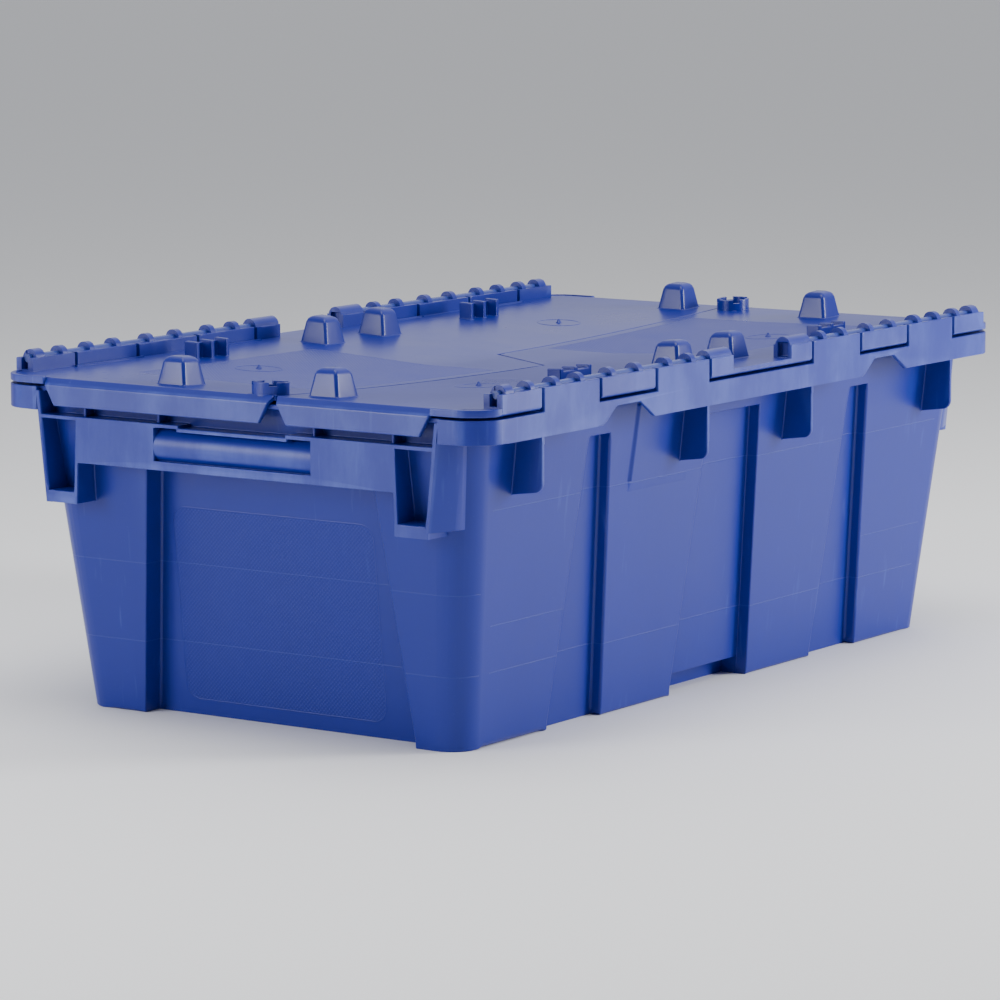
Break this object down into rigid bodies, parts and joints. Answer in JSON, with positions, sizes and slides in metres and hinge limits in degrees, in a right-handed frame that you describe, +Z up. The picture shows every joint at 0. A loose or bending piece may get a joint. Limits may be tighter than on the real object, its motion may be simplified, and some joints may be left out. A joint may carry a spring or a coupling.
{
  "type": "attached-lid stacking tote",
  "caption": "Tapered stacking and nesting plastic tote with interlocking hinged lids, stacking lugs on the lids and rolled hand grips at the ends.",
  "frame": {"origin": "centre of the base, on the plane that the tote stands on", "axes": "+X along the length, +Y across the width towards the rear lid's hinge, +Z up"},
  "size_m": [0.5, 0.3, 0.185],
  "materials": {
    "tub_plastic": "injection-moulded polyethylene, satin, with fine flow marks and scuffs",
    "lid_plastic": "injection-moulded polyethylene, satin, with finely textured panels",
    "rod_plastic": "extruded rod, smooth"
  },
  "bodies": {
    "tub": {"tub": "tub_plastic", "hinge_rod_front_left": "rod_plastic", "hinge_rod_front_right": "rod_plastic", "hinge_rod_rear_left": "rod_plastic", "hinge_rod_rear_right": "rod_plastic"},
    "front_lid": {"lid_front": "lid_plastic"},
    "rear_lid": {"lid_rear": "lid_plastic"}
  },
  "joints": [
    {"name": "front_lid_hinge", "type": "hinge", "parent": "tub", "child": "front_lid", "pos_m": [0, -0.1445, 0.177], "axis": [1, 0, 0], "range_deg": [0, 268]},
    {"name": "rear_lid_hinge", "type": "hinge", "parent": "tub", "child": "rear_lid", "pos_m": [0, 0.1445, 0.177], "axis": [-1, 0, 0], "range_deg": [0, 268]}
  ]
}
